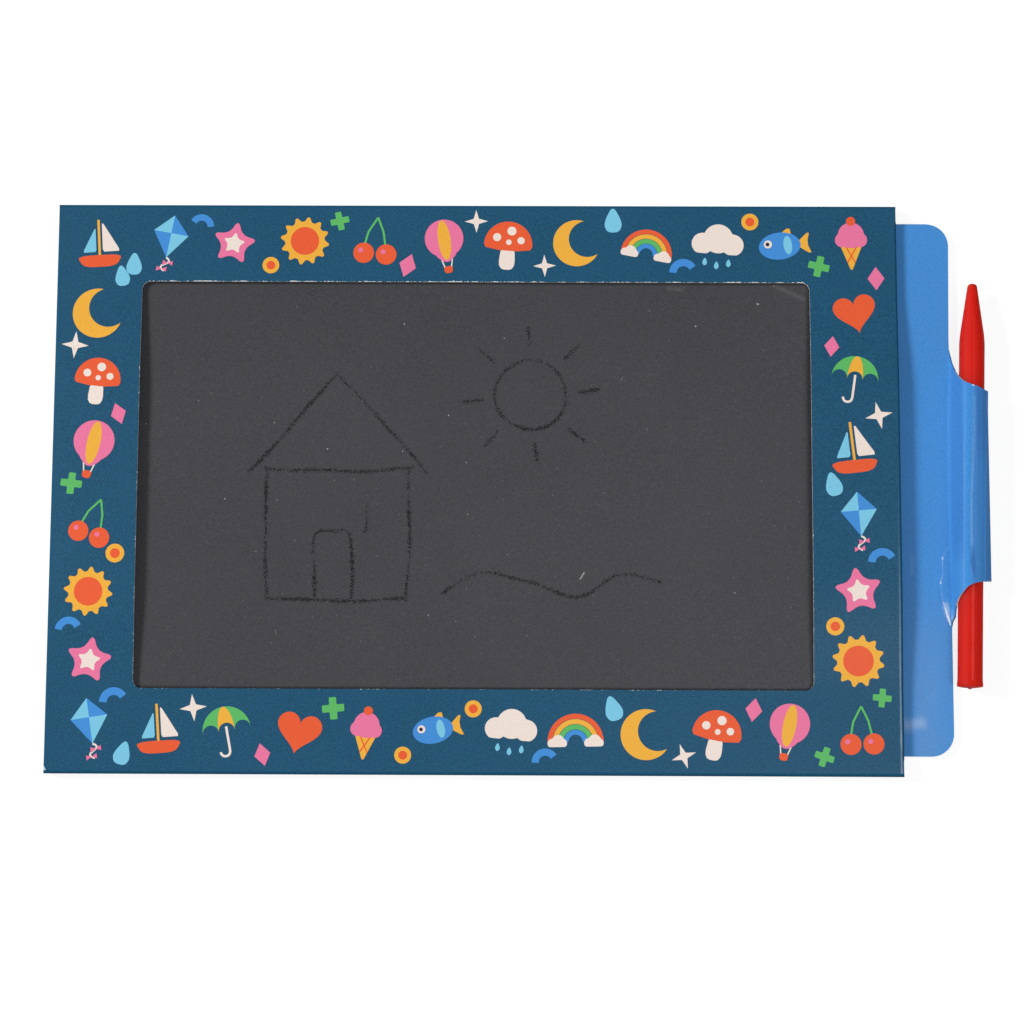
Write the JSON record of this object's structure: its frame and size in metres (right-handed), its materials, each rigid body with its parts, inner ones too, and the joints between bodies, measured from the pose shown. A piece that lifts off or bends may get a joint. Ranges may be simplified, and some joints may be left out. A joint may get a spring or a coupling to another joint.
{
  "type": "magic slate",
  "caption": "Flat card sleeve with a framed writing film over a waxed pull-out card that clears the marks, and a card loop that holds a plastic stylus.",
  "frame": {"origin": "middle of the sleeve's back face, which lies on the table", "axes": "+X towards the sleeve's open mouth and pen loop, +Y towards the top of the window, +Z out of the window"},
  "size_m": [0.2215, 0.1354, 0.0073],
  "materials": {
    "printed_card": "teal print with a thin clear varnish",
    "grey_film": "matte translucent film, dark grey over the waxed board",
    "blue_card": "coated, satin",
    "waxed_board": "black wax coat, satin",
    "red_plastic": "moulded, satin gloss",
    "adhesive": "dried paper glue",
    "clear_tape": "clear tape"
  },
  "bodies": {
    "sleeve": {"sleeve": "printed_card", "seam_adhesive": "adhesive", "end_flap_adhesive": "adhesive", "mouth_lip_adhesive": "adhesive", "writing_film": "grey_film", "film_tape": "clear_tape"},
    "slider": {"slider_card": "blue_card", "slider_hem_adhesive": "adhesive", "wax_board": "waxed_board", "board_adhesive": "adhesive", "pen_loop_adhesive": "adhesive"},
    "stylus": {"stylus": "red_plastic"}
  },
  "joints": [
    {"name": "slider_pull", "type": "slide", "parent": "sleeve", "child": "slider", "axis": [1, 0, 0], "range_m": [0, 0.1655]},
    {"name": "stylus_pull", "type": "slide", "parent": "slider", "child": "stylus", "axis": [0.0248, 0.9997, 0], "range_m": [-0.075, 0.075]}
  ]
}
